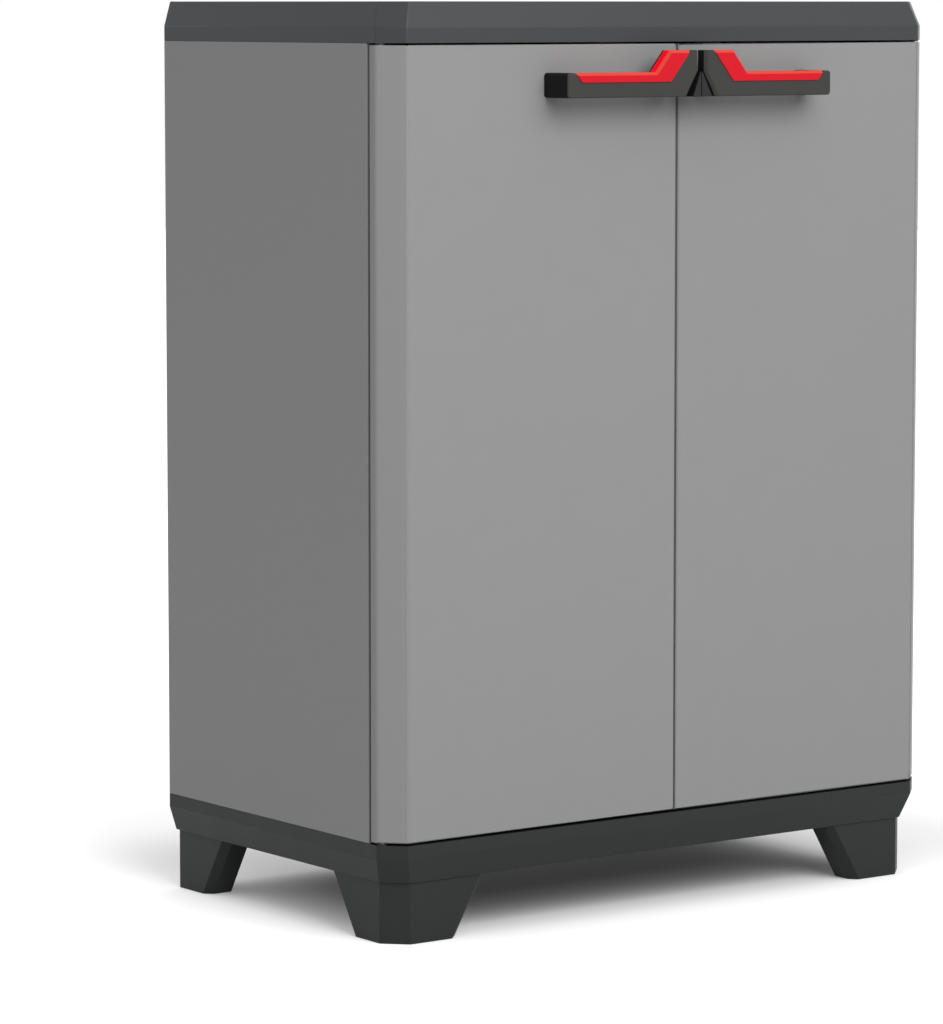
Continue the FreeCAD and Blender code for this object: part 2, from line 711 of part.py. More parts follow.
def handle_body(seam):
    """Grip with a solid end block and inner block, hollow for the fingers between them."""
    grip = board(handle_profile(seam), GRIP_FRONT, GRIP_BACK)
    end = seam - HANDLE_END
    corners = [
        edge for edge in grip.Edges
        if all(abs(v.Point.x - end) < TOUCH for v in edge.Vertexes)
        and abs(edge.Vertexes[0].Point.z - edge.Vertexes[1].Point.z) < TOUCH
    ]
    grip = grip.makeFillet(HANDLE_ROUND, corners)
    inner = [
        edge for edge in grip.Edges
        if all(abs(v.Point.y - GRIP_FRONT) < TOUCH and v.Point.x > seam - HANDLE_TIP - TOUCH
               for v in edge.Vertexes)
        and abs(edge.Vertexes[0].Point.z - edge.Vertexes[1].Point.z) > NEAR
    ]
    grip = grip.makeChamfer(HANDLE_BEVEL, inner)
    low = [
        edge for edge in grip.Edges
        if all(abs(v.Point.y - GRIP_FRONT) < TOUCH and v.Point.z < BAR_FOOT + TOUCH
               for v in edge.Vertexes)
    ]
    grip = grip.makeChamfer(HANDLE_EDGE, low)
    profile = board(handle_profile(seam), GRIP_BACK, FRONT)
    end_block = block(end, end + HANDLE_BLOCK, GRIP_BACK, FRONT, BAR_FOOT, BAR_TOP)
    end_edges = [
        edge for edge in end_block.Edges
        if all(abs(v.Point.x - end) < TOUCH for v in edge.Vertexes)
        and abs(edge.Vertexes[0].Point.z - edge.Vertexes[1].Point.z) < TOUCH
    ]
    end_block = end_block.makeFillet(HANDLE_ROUND, end_edges)
    near = profile.common(block(seam - HANDLE_NEAR, seam, GRIP_BACK, FRONT, BAR_FOOT, BAR_TOP))
    handle = fused(grip, [end_block, near])
    recess = board(insert_profile(seam, INSERT_PLAY), GRIP_FRONT, GRIP_FRONT + INSERT_DEPTH)
    return handle.cut([recess] + handle_screws_shanks(seam))


def insert_profile(seam, play):
    """Front view of the insert, grown by the play on its lower and inner sides."""
    rise = HANDLE_RISE / HANDLE_SLOPE
    lean = INSERT_BAND / rise
    low = BAR_TOP - INSERT_BAND - play
    inner_top = seam - INSERT_START + play
    run = (HANDLE_TOP - low) / rise
    outer = seam - HANDLE_END + INSERT_SHORT - play
    return [
        (inner_top, HANDLE_TOP),
        (seam - HANDLE_SHOULDER, HANDLE_TOP),
        (seam - HANDLE_SHOULDER - HANDLE_SLOPE, BAR_TOP),
        (outer, BAR_TOP),
        (outer + lean, low),
        (inner_top - run, low),
    ]


def handle_insert(seam):
    """Coloured strip let into the front of the handle, bevelled along its top."""
    front = GRIP_FRONT - INSERT_PROUD
    strip = board(insert_profile(seam, 0), front, GRIP_FRONT + INSERT_DEPTH)
    top = [
        edge for edge in strip.Edges
        if all(abs(v.Point.y - front) < TOUCH and v.Point.z > BAR_TOP - TOUCH for v in edge.Vertexes)
    ]
    return strip.makeChamfer(INSERT_EDGE, top)


def screw_places(seam):
    """Each handle has one screw in its end block and one in its inner block."""
    middle = (BAR_FOOT + BAR_TOP) / 2
    return [
        (seam - HANDLE_END + HANDLE_BLOCK / 2, middle),
        (seam - (HANDLE_TIP + HANDLE_NEAR) / 2, middle),
    ]


def handle_screws_shanks(seam):
    return [along_y(x, z, FRONT - SCREW_BITE, FRONT, SCREW_R) for x, z in screw_places(seam)]


def ear_screw_place(seam):
    """Just clear of the door's free edge, so that the head has room inside the door."""
    return (seam - SEAM_GAP / 2 - WALL - FIT - SMALL_HEAD_R, BAR_FOOT + SMALL_HEAD_R)


def handle_screw_holes(seam):
    y1 = FRONT + WALL
    holes = [along_y(x, z, FRONT, y1, SCREW_R + SCREW_PLAY) for x, z in screw_places(seam)]
    x, z = ear_screw_place(seam)
    return holes + [along_y(x, z, FRONT, y1, SMALL_SCREW_R + SCREW_PLAY)]


def screw(x, z, y_head, bite, radius, head_r, head):
    """Pan-head screw that points forward, with its head behind y_head."""
    shank = along_y(x, z, y_head - bite, y_head, radius)
    return fused(shank, [along_y(x, z, y_head, y_head + head, head_r)])


def handle_screws(seam):
    inside = FRONT + WALL
    screws = [
        screw(x, z, inside, SCREW_BITE + WALL, SCREW_R, SCREW_HEAD_R, SCREW_HEAD)
        for x, z in screw_places(seam)
    ]
    x, z = ear_screw_place(seam)
    screws.append(screw(x, z, inside, SMALL_BITE + WALL, SMALL_SCREW_R, SMALL_HEAD_R, SMALL_HEAD))
    return Part.makeCompound(screws)


def padlock_ear(seam, foot_x):
    """Half of the triangle between the handles, with an eye for a padlock's shackle."""
    edge = seam - EAR_GAP / 2
    ear = board(
        [
            (edge, BAR_FOOT),
            (edge, BAR_TOP),
            (edge - EAR_TOP, BAR_TOP),
            (seam - foot_x, BAR_FOOT),
        ],
        GRIP_FRONT + EAR_BACK,
        FRONT,
    )
    y = GRIP_FRONT + EAR_BACK + EAR_EYE_BACK
    eye = along_x(y, BAR_FOOT + EAR_EYE_UP, seam - foot_x, edge, EAR_EYE_R)
    x, z = ear_screw_place(seam)
    return ear.cut([eye, along_y(x, z, FRONT - SMALL_BITE, FRONT, SMALL_SCREW_R)])


# Catches


def catch_x(seam):
    return seam - CATCH_FROM_SEAM


def catch_tongue(seam):
    """Plate on the liner's border with a tongue that snaps between the keeper's jaws."""
    x = catch_x(seam)
    half = TONGUE_WIDTH / 2
    z0 = tongue_plate_foot()
    base = block(x - half, x + half, DOOR_BACK, DOOR_BACK + TONGUE_PLATE_THICK, z0, TONGUE_TOP)
    tongue = block(
        x - half, x + half, DOOR_BACK, KEEPER_FRONT + TONGUE_REACH, TONGUE_FOOT, TONGUE_TOP
    )
    tongue = tongue.makeChamfer(
        TONGUE_LEAD,
        [
            edge for edge in tongue.Edges
            if all(v.Point.y > KEEPER_FRONT + TONGUE_REACH - NEAR for v in edge.Vertexes)
            and abs(edge.Vertexes[0].Point.x - edge.Vertexes[1].Point.x) > NEAR
        ],
    )
    x, z = tongue_screw_place(seam)
    return fused(base, [tongue]).cut(
        along_y(x, z, DOOR_BACK, DOOR_BACK + TONGUE_PLATE_THICK, SMALL_SCREW_R)
    )


def tongue_plate_foot():
    return TONGUE_TOP - TONGUE_PLATE


def tongue_screw_place(seam):
    return (catch_x(seam), (tongue_plate_foot() + TONGUE_FOOT) / 2)


def catch_screw(seam):
    x, z = tongue_screw_place(seam)
    y = DOOR_BACK + TONGUE_PLATE_THICK
    return screw(x, z, y, TONGUE_PLATE_THICK + WALL, SMALL_SCREW_R, SMALL_HEAD_R, SMALL_HEAD)


def catch_keepers():
    """Two forks under the lid, open to the front."""
    return Part.makeCompound([keeper(x) for x in keeper_places()])


def keeper_places():
    return [catch_x(SEAM_X), -catch_x(-SEAM_X)]


def keeper(x):
    half = KEEPER_WIDTH / 2
    slot_foot = TONGUE_FOOT - KEEPER_PLAY
    body = block(
        x - half, x + half, KEEPER_FRONT, KEEPER_FRONT + KEEPER_DEPTH,
        slot_foot - KEEPER_JAW, LID_FOOT,
    )
    slot = block(
        x - half, x + half, KEEPER_FRONT, KEEPER_FRONT + TONGUE_REACH + KEEPER_PLAY,
        slot_foot, SLOT_TOP,
    )
    hole = upright(x, keeper_screw_y(), slot_foot - KEEPER_JAW, LID_FOOT, SMALL_SCREW_R)
    return body.cut([slot, hole])


def keeper_screw_y():
    return KEEPER_FRONT + (TONGUE_REACH + KEEPER_PLAY + KEEPER_DEPTH) / 2


def keeper_screws():
    """Screws that hold the keepers to the soffit, heads down."""
    foot_z = TONGUE_FOOT - KEEPER_PLAY - KEEPER_JAW
    screws = []
    for x in keeper_places():
        y = keeper_screw_y()
        shank = upright(x, y, foot_z, LID_FOOT + WALL, SMALL_SCREW_R)
        head = upright(x, y, foot_z - SMALL_HEAD, foot_z, SMALL_HEAD_R)
        screws.append(fused(shank, [head]))
    return Part.makeCompound(screws)


def keeper_screw_holes():
    y = keeper_screw_y()
    return [upright(x, y, LID_FOOT, LID_FOOT + WALL, SMALL_SCREW_R) for x in keeper_places()]


def liner_with_hole(seam):
    x, z = tongue_screw_place(seam)
    hole = along_y(x, z, DOOR_BACK - WALL, DOOR_BACK + LINER_RISE, SMALL_SCREW_R)
    return door_liner(seam).cut(hole)


# The whole cabinet


def pair(name, build, *sizes):
    """A left piece and its right counterpart, the same piece mirrored."""
    left = build(*sizes)
    return {name + "_left": left, name + "_right": mirrored(left)}


def door_pair(name, build):
    """Door pieces: the two doors differ in width, because the seam is off the middle."""
    return {name + "_left": build(SEAM_X), name + "_right": mirrored(build(-SEAM_X))}


def ear_pair():
    left = padlock_ear(SEAM_X, EAR_LEFT)
    return {"padlock_ear_left": left, "padlock_ear_right": mirrored(padlock_ear(-SEAM_X, EAR_RIGHT))}


def cabinet():
    pieces = {
        "base_tray": base_tray(),
        "top_lid": top_lid(),
        "back_joint_strip": back_joint_strip(),
        "shelf_lower": shelf(LOWER_HOLE),
        "shelf_upper": shelf(UPPER_HOLE),
        "shelf_clips_lower": shelf_clips(LOWER_HOLE),
        "shelf_clips_upper": shelf_clips(UPPER_HOLE),
        "pivot_bushes": pivot_bushes(),
        "catch_keepers": catch_keepers(),
        "keeper_screws": keeper_screws(),
    }
    pieces.update(pair("foot_front", front_foot))
    pieces.update(pair("foot_rear", rear_foot))
    pieces.update(pair("side_panel", side_panel))
    pieces.update(pair("back_panel", back_panel))
    pieces.update(pair("hinge_pins", hinge_pins))
    pieces.update(door_pair("door_shell", door_shell))
    pieces.update(door_pair("door_liner", liner_with_hole))
    pieces.update(door_pair("handle_body", handle_body))
    pieces.update(door_pair("handle_insert", handle_insert))
    pieces.update(door_pair("catch_tongue", catch_tongue))
    pieces.update(door_pair("catch_screw", catch_screw))
    pieces.update(door_pair("handle_screws", handle_screws))
    pieces.update(ear_pair())
    return pieces


os.makedirs("parts", exist_ok=True)
for name, shape in cabinet().items():
    shape.exportStep("parts/" + name + ".step")
    print(name, len(shape.Solids), shape.isValid(), round(shape.Volume / 1000, 1), "cm3")
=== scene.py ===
"""Looks of a low two-door workshop cabinet in moulded resin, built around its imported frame."""

import json
import math
import bmesh
import bpy
from bpy.props import FloatProperty, FloatVectorProperty, PointerProperty
from mathutils import Matrix, Vector

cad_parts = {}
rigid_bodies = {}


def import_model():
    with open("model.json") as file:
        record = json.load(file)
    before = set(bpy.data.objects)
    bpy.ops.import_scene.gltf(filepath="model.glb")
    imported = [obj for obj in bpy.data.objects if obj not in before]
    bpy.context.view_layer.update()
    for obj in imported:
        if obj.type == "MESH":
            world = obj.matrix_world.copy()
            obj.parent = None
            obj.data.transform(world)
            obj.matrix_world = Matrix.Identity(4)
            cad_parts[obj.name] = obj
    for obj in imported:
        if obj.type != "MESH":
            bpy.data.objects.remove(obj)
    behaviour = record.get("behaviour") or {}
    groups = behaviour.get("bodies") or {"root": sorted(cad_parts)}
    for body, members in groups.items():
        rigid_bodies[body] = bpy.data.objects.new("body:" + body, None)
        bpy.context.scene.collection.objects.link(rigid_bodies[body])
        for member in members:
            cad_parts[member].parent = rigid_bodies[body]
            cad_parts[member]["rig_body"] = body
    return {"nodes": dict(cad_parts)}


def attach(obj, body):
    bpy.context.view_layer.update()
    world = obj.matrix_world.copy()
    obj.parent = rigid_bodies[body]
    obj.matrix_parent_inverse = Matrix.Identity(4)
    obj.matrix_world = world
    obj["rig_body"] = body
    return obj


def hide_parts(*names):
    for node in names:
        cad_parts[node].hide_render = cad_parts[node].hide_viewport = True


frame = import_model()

bl_info = {
    "name": "Workshop Cabinet",
    "version": (1, 0, 0),
    "blender": (4, 5, 0),
    "location": "3D View > Sidebar > Cabinet",
    "description": "Builds the visible pieces and finishes of a two-door workshop cabinet",
    "category": "Object",
}

MM = 0.001

# Faces
WELD = 0.002 * MM          # corners this close are one corner
OUTSIDE = 20 * WELD        # an outer face has no corner of its piece this far in front of it
FLAT = math.radians(0.5)   # neighbouring faces this close to level are one face
SMOOTH = math.cos(math.radians(50))  # roundings that turn less than this are shaded as one
CURVED = math.cos(math.radians(30))  # neighbouring faces that turn less than this are one curve
BEND = math.radians(60)    # outer faces that turn less than this are one bent skin
FORWARD = 0.5              # faces that look forward at least this far keep a piece's front finish; a handle's others get painted shade, an insert's painted light
LEVEL = 0.9                # and beyond this they are no bevels, which get an insert's painted highlight

# Rounded edges
FAINT = math.radians(8)    # least turn between outer faces
SHARP = math.radians(30)   # least turn on pieces that are rounded all over
SHORT = 3 * MM             # least length on most pieces
LINER_SHORT = 10 * MM      # least length on the door liners
TONGUE_SHORT = 4 * MM      # least length on the catch tongues
RIM_SHORT = 0.2 * MM       # least length along the rims of a door
BEND_TALL = 400 * MM       # least length of a door's bend
BEND_SEGMENTS = 4
CIRCULAR = 0.5             # profile of a rounding that follows a circle

# Screws
RING_CORNERS = 48
TIP_WIDTH = 0.6            # radius of the tip as a share of the shank's radius
TIP_LENGTH = 0.4           # length of its bevel, as the same share
DOME_FOOT = 1.05           # where the dome meets the flat top, as a multiple of the recess's reach
DOME_STEPS = 6
RECESS_TAPER = 0.75        # width of the recess at its floor as a share of that at its mouth

# Resins and zinc
RESIN_IOR = 1.49
PITS = {"Detail": 2.0, "Roughness": 0.6}     # noise of a mould's eroded grain
CLOUDS = {"Detail": 3.0, "Roughness": 0.55}  # noise of the slow clouds in a melt
PATCHES = {"Detail": 4.0}                    # noise of the patches in a plating
NOISE_SPAN = {"From Min": 0.3, "From Max": 0.7}  # nearly all of a noise lies in this span
CLOUD_SHARE = 0.45         # part of the clouds in a resin's tone, beside the grain
SHEEN_SWING = 0.02         # how far the clouds move a resin's roughness
ZINC_TONE = (0.9, 1.06)    # darkest and brightest patch as a share of the colour
ZINC_ROUGHNESS = (0.24, 0.46)  # clearest and dullest patch

# Sockets of the mix node, which has several by the same name. The last is an output.
MIX_SHARE, MIX_NUMBER_A, MIX_NUMBER_B, MIX_COLOUR_A, MIX_COLOUR_B, MIXED_COLOUR = 0, 2, 3, 6, 7, 2

# Stage, with places in metres
SHADE_MIDDLE = (0.165, 0.13, 0.0)  # middle of the part of the floor that keeps its shade
SHADE_HALF = (0.335, 0.17, 0.0)    # half its width and depth
SHADE_FADE = 0.25          # how far beyond it the shade fades quickly, in metres
PAINT_WHITE = 0.86         # share of light that the floor's paint is seen to throw back
FLOOR_DROP = 0.2 * MM      # the floor lies this far below the feet
FLOOR_CORNERS = 128
WHITE = (1.0, 1.0, 1.0, 1.0)
KEY_AIM = (0.0, 0.0, 0.5)    # point that the key lamp faces
SIDE_AIM = (0.0, 0.0, 0.6)   # point that the side lamp faces
SIGHT = 100.0              # the camera sees nothing farther off, in metres


def linear(code):
    """Linear red, green and blue of an sRGB hex colour."""
    parts = [int(code[i:i + 2], 16) / 255 for i in (1, 3, 5)]
    return tuple(c / 12.92 if c <= 0.04045 else ((c + 0.055) / 1.055) ** 2.4 for c in parts)


def colour(name, description, code):
    """A colour that a user can change."""
    return FloatVectorProperty(
        name=name, description=description, subtype="COLOR", size=3, min=0, max=1,
        default=linear(code),
    )


def length(name, description, millimetres):
    """A length that a user can change."""
    return FloatProperty(
        name=name, description=description, subtype="DISTANCE", unit="LENGTH", min=0,
        default=millimetres * MM,
    )


def share(name, description, value):
    """A share between nothing and all that a user can change."""
    return FloatProperty(
        name=name, description=description, subtype="FACTOR", min=0, max=1, default=value
    )


# Sizes and colours that a user would change


class CabinetColours(bpy.types.PropertyGroup):
    panel_grey: colour("Panel grey", "Side panels and doors", "#8a8a8a")
    inner_grey: colour("Inner grey", "Back panels, shelves and door liners", "#828383")
    lid_graphite: colour("Lid graphite", "Lid", "#3a3c3e")
    base_black: colour("Base black", "Base tray and feet", "#242626")
    handle_graphite: colour("Handle graphite", "Fronts of the handles", "#3b3b3a")
    # Partly painted shade: the handles' sides and backs are drawn black also where they only stand in
    # shade.
    handle_black_and_shade: colour("Handle black", "Sides and backs of the handles", "#1d1d1e")
    # Painted shade: the ears' fronts are drawn darker for the shade between the handles.
    ear_painted_shade: colour("Ear black", "Fronts of the padlock ears", "#2a2a2a")
    insert_red: colour("Insert red", "Strips let into the handles", "#cb1625")
    # Painted highlight: the strips' bevels are drawn brighter and more orange.
    bevel_painted_highlight: colour("Bevel red", "Bevels of those strips", "#ca3c2a")
    # Painted light: the strips' thin sides are drawn a brighter red.
    side_painted_light: colour("Side red", "Thin sides of those strips", "#ff0a24")
    clip_black: colour("Clip black", "Shelf clips", "#1c1c1d")
    acetal_black: colour("Acetal black", "Bushes, keepers and catch tongues", "#151516")
    zinc: colour("Zinc", "Pins and screws", "#b9bab6")


class CabinetEdges(bpy.types.PropertyGroup):
    panel_round: length("Panel edge", "Rounding of the edges of panels and shelves", 0.8)
    door_round: length("Door edge", "Rounding of the doors' edges", 0.5)
    corner_round: length("Door corner", "Rounding where a door turns into its corner bevel", 3.0)
    lid_round: length("Lid edge", "Rounding of the lid's edges", 0.9)
    base_round: length("Base edge", "Rounding of the base's and the feet's edges", 0.9)
    handle_round: length("Handle edge", "Rounding of the handles' edges", 0.6)
    insert_round: length("Insert edge", "Rounding of the inserts' edges", 0.35)
    small_round: length("Small edge", "Rounding of clips, catches, ears, liners and strip", 0.3)


class CabinetSurface(bpy.types.PropertyGroup):
    panel_grain: length("Panel grain", "Width of the eroded grain on panels, doors, lid and base", 1.3)
    handle_grain: length("Handle grain", "Width of the finer grain on the handles", 0.8)
    grain_height: length("Grain height", "Depth of the eroded grain", 0.02)
    mottle: length("Mottle", "Size of the clouds that the melt leaves in the colour", 34)
    plating_cloud: length("Plating cloud", "Size of the clouds in the zinc", 4)


class CabinetScrews(bpy.types.PropertyGroup):
    recess_width: share("Recess width", "Width of the cross recess as a share of the head", 0.62)
    recess_arm: share("Recess arm", "Thickness of the recess's arms as a share of the head", 0.16)
    recess_depth: share("Recess depth", "Depth of the recess as a share of the head's height", 0.6)
    dome: share("Dome", "Domed part of the head's height", 0.55)


class CabinetStage(bpy.types.PropertyGroup):
    floor_radius: FloatProperty(
        name="Floor radius", description="Radius of the pale floor", unit="LENGTH", default=14.0
    )
    camera_place: FloatVectorProperty(
        name="Camera place", description="Where the photograph was taken from",
        subtype="TRANSLATION", unit="LENGTH", size=3, default=(-2.8499, -3.744, 0.8979),
    )
    camera_tilt: FloatProperty(
        name="Camera tilt", description="Camera below the level", subtype="ANGLE",
        default=math.radians(6.243),
    )
    camera_turn: FloatProperty(
        name="Camera turn", description="Camera turned from the cabinet's front",
        subtype="ANGLE", default=math.radians(36.144),
    )
    lens: FloatProperty(
        name="Lens", description="Focal length on a 36 mm wide sensor", unit="CAMERA",
        default=163.402,
    )
    sky_low: FloatProperty(
        name="Low sky", description="Strength of the even light at the level of the floor", default=0.0
    )
    sky_high: FloatProperty(
        name="High sky", description="Strength of the even light overhead", default=1.3
    )
    key: FloatProperty(
        name="Key lamp", description="Soft lamp in front and above",
        subtype="POWER", unit="POWER", default=130.0,
    )
    key_size: FloatProperty(
        name="Key size", description="Side of the lamp's square face", unit="LENGTH", default=2.8
    )
    key_place: FloatVectorProperty(
        name="Key place", description="Where the lamp hangs", subtype="TRANSLATION", unit="LENGTH",
        size=3, default=(-0.62, -3.94, 2.8),
    )
    side: FloatProperty(
        name="Side lamp", description="Weaker lamp at the right, whose gleam runs along the lid",
        subtype="POWER", unit="POWER", default=22.0,
    )
    side_size: FloatProperty(
        name="Side lamp size", description="Side of that lamp's square face", unit="LENGTH", default=1.6
    )
    side_place: FloatVectorProperty(
        name="Side lamp place", description="Where that lamp hangs", subtype="TRANSLATION",
        unit="LENGTH", size=3, default=(1.6, -3.42, 3.05),
    )
    lift_under: share("Lift below", "Brightness added to the floor that is seen in the shade", 0.03)
    lift_near: share("Lift nearby", "Brightness added where the shade has faded", 0.28)
    lift_far: share("Lift far off", "Brightness added a metre away from the shade", 0.5)
    bounce: share("Bounce", "Share of its light that the floor throws back at the cabinet", 0.45)


# Materials


def add(tree, kind, settings=None, links=None):
    """Adds one node with its settings and the sockets that feed it."""
    node = tree.nodes.new("ShaderNode" + kind)
    for key, value in (settings or {}).items():
        if isinstance(key, int) or key in node.inputs:
            node.inputs[key].default_value = value
        else:
            setattr(node, key, value)
    for key, source in (links or {}).items():
        tree.links.new(source, node.inputs[key])
    return node


def fresh_material(name):
    """An empty material and its node tree."""
    material = bpy.data.materials.new(name)
    material.use_nodes = True
    material.node_tree.nodes.clear()
    return material, material.node_tree


def tinted(rgb, factor):
    """A lighter or darker colour with full cover."""
    return tuple(min(c * factor, 1.0) for c in rgb) + (1.0,)


def moulded(name, rgb, roughness, specular, grain, depth, cloud, variation=0.02):
    """Resin with an eroded mould's grain: the grain breaks up the sheen, and slow clouds in the
    melt keep large faces from looking like flat paint."""
    material, tree = fresh_material(name)
    place = add(tree, "TexCoord").outputs["Object"]
    pits = add(tree, "TexNoise", {"Scale": 1 / grain, **PITS}, {"Vector": place})
    clouds = add(tree, "TexNoise", {"Scale": 1 / cloud, **CLOUDS}, {"Vector": place})
    blend = add(
        tree, "Mix", {MIX_SHARE: CLOUD_SHARE},
        {MIX_NUMBER_A: pits.outputs["Fac"], MIX_NUMBER_B: clouds.outputs["Fac"]},
    )
    tone = add(tree, "MapRange", NOISE_SPAN, {"Value": blend.outputs["Result"]})
    body = add(
        tree, "Mix",
        {
            "data_type": "RGBA",
            MIX_COLOUR_A: tinted(rgb, 1 - variation),
            MIX_COLOUR_B: tinted(rgb, 1 + variation),
        },
        {MIX_SHARE: tone.outputs["Result"]},
    )
    sheen = add(
        tree, "MapRange",
        {**NOISE_SPAN, "To Min": roughness - SHEEN_SWING, "To Max": roughness + SHEEN_SWING},
        {"Value": clouds.outputs["Fac"]},
    )
    bump = add(tree, "Bump", {"Strength": 1.0, "Distance": depth}, {"Height": pits.outputs["Fac"]})
    shader = add(
        tree, "BsdfPrincipled",
        {"IOR": RESIN_IOR, "Specular IOR Level": specular},
        {
            "Base Color": body.outputs[MIXED_COLOUR],
            "Roughness": sheen.outputs["Result"],
            "Normal": bump.outputs["Normal"],
        },
    )
    add(tree, "OutputMaterial", {}, {"Surface": shader.outputs["BSDF"]})
    return material


def zinc_plated_steel(rgb, cloud):
    """Bright zinc over drawn steel: clear reflections that cloud over in small patches."""
    material, tree = fresh_material("zinc_plated_steel")
    place = add(tree, "TexCoord").outputs["Object"]
    clouds = add(tree, "TexNoise", {"Scale": 1 / cloud, **PATCHES}, {"Vector": place})
    darkest, brightest = ZINC_TONE
    body = add(
        tree, "Mix",
        {
            "data_type": "RGBA",
            MIX_COLOUR_A: tinted(rgb, darkest),
            MIX_COLOUR_B: tinted(rgb, brightest),
        },
        {MIX_SHARE: clouds.outputs["Fac"]},
    )
    clearest, dullest = ZINC_ROUGHNESS
    sheen = add(
        tree, "MapRange", {"To Min": clearest, "To Max": dullest}, {"Value": clouds.outputs["Fac"]}
    )
    shader = add(
        tree, "BsdfPrincipled", {"Metallic": 1.0},
        {"Base Color": body.outputs[MIXED_COLOUR], "Roughness": sheen.outputs["Result"]},
    )
    add(tree, "OutputMaterial", {}, {"Surface": shader.outputs["BSDF"]})
    return material


def make_finishes(scene):
    """The cabinet's materials by finish. Most finishes have the name of a slot; a few paint light or
    shade onto the handles, the ears and the red inserts.
    """
    shade, skin = scene.cabinet_colours, scene.cabinet_surface
    # The real grain is about 0.4 mm wide, too fine to show here, so it is drawn wider.
    eroded = {"grain": skin.panel_grain, "depth": skin.grain_height, "cloud": skin.mottle}
    satin = {**eroded, "grain": skin.handle_grain, "depth": skin.grain_height / 2}
    smooth = {**satin, "depth": skin.grain_height / 5}
    polished = {**satin, "depth": skin.grain_height / 10}
    return {
        # Fine dull speckle on the large grey faces.
        "panel_grey": moulded(
            "moulded_polypropylene_grey", shade.panel_grey,
            roughness=0.52, specular=0.28, **eroded,
        ),
        # The same resin, a little darker and duller inside.
        "inner_grey": moulded(
            "moulded_polypropylene_inner_grey", shade.inner_grey,
            roughness=0.58, specular=0.25, **eroded,
        ),
        # Dark lid whose sloping rim picks up the lamp.
        "lid_graphite": moulded(
            "moulded_polypropylene_graphite", shade.lid_graphite,
            roughness=0.4, specular=0.24, **eroded,
        ),
        # Nearly black recycled resin, read mostly by its sheen.
        "base_black": moulded(
            "moulded_recycled_polypropylene_black", shade.base_black,
            roughness=0.5, specular=0.21, variation=0.03, **eroded,
        ),
        # Satin graphite skin on the fronts of the handles, where the eye goes.
        "handle_graphite": moulded(
            "moulded_polyamide_graphite", shade.handle_graphite,
            roughness=0.5, specular=0.12, **satin,
        ),
        # Painted shade on the fronts of the padlock ears: a black a step darker than the handles beside
        # them, for the shade of the gap where they sit.
        "ear_painted_shade": moulded(
            "moulded_polyamide_ear_painted_shade", shade.ear_painted_shade,
            roughness=0.5, specular=0.12, **satin,
        ),
        # Black with almost no sheen on the faces of handles and ears that don't look forward: partly a
        # darker resin, as at the handles' open ends, partly painted shade, as in the gap between the
        # handles.
        "handle_sides_and_shade": moulded(
            "moulded_polyamide_black_and_shade", shade.handle_black_and_shade,
            roughness=0.6, specular=0.06, **satin,
        ),
        # Clear red with a smoother skin; the brighter line on its bevels is a painted highlight.
        "insert_red": moulded(
            "moulded_abs_red", shade.insert_red, roughness=0.4, specular=0.15, **smooth
        ),
        # Painted highlight on its bevels, which are a little smoother too: a thin brighter line that
        # leans to orange.
        "insert_painted_highlight": moulded(
            "moulded_abs_red_painted_highlight", shade.bevel_painted_highlight, roughness=0.3, specular=0.15, **polished
        ),
        # Painted light on its thin sides: a clearer, brighter red, for the light that falls on them.
        "insert_side_painted_light": moulded(
            "moulded_abs_red_painted_light", shade.side_painted_light, roughness=0.4, specular=0.05, **smooth
        ),
        # Small black mouldings, with a faint sheen on their satin skin.
        "clip_black": moulded(
            "moulded_polyamide_black", shade.clip_black,
            roughness=0.45, specular=0.3, variation=0.04, **satin,
        ),
        # Slippery, slightly waxy black.
        "acetal_black": moulded(
            "moulded_acetal_black", shade.acetal_black,
            roughness=0.32, specular=0.45, variation=0.04, **smooth,
        ),
        # Cold bright metal that sets pins and screws off from the dull resin.
        "zinc_steel": zinc_plated_steel(shade.zinc, skin.plating_cloud),
    }


FINISHES = {}  # filled when the materials are made


# Building


def body_of(node):
    """The moving or standing body that a node belongs to."""
    return frame["nodes"][node]["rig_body"]


def mesh_of(node):
    """The solid's mesh with its triangles joined back into whole faces."""
    bm = bmesh.new()
    bm.from_mesh(frame["nodes"][node].data)
    bmesh.ops.remove_doubles(bm, verts=bm.verts[:], dist=WELD)
    bmesh.ops.dissolve_limit(bm, angle_limit=FLAT, verts=bm.verts[:], edges=bm.edges[:])
    return bm


def outer_faces(bm):
    """Faces with the whole piece behind them."""
    points = [v.co for v in bm.verts]
    found = set()
    for face in bm.faces:
        reach = face.normal.dot(face.verts[0].co) + OUTSIDE
        if all(face.normal.dot(p) < reach for p in points):
            found.add(face)
    return found


def sharp_edges(bm, shortest, outer_only):
    """Outward edges that are long and sharp enough to be rounded."""
    outer = outer_faces(bm) if outer_only else None
    turn = FAINT if outer_only else SHARP
    found = []
    for edge in bm.edges:
        if len(edge.link_faces) != 2 or not edge.is_convex:
            continue
        if edge.calc_length() < shortest or edge.calc_face_angle() < turn:
            continue
        if outer is None or all(face in outer for face in edge.link_faces):
            found.append(edge)
    return found


def round_edges(bm, edges, radius, segments=2):
    """Rounds the edges, and gives the new faces."""
    made = bmesh.ops.bevel(
        bm, geom=edges, offset=radius, offset_type="OFFSET", segments=segments,
        profile=CIRCULAR, affect="EDGES", clamp_overlap=False, miter_outer="SHARP", loop_slide=True,
    )
    return set(made["faces"])


def corner_normal(face, vertex, rounded):
    """Flat faces stay flat, curves are smooth, and a rounding runs from one flat to the next."""
    beside = [f for f in vertex.link_faces if f.normal.dot(face.normal) > SMOOTH]
    firm = [f for f in beside if f not in rounded]
    if face not in rounded:
        near = [f for f in firm if f.normal.dot(face.normal) > CURVED]
        trace = face.normal * WELD * WELD  # gives faces without area a direction
        return sum((f.normal * f.calc_area() for f in near), trace)
    if firm:
        return max(firm, key=lambda f: f.normal.dot(face.normal)).normal
    return sum((f.normal for f in beside), Vector())


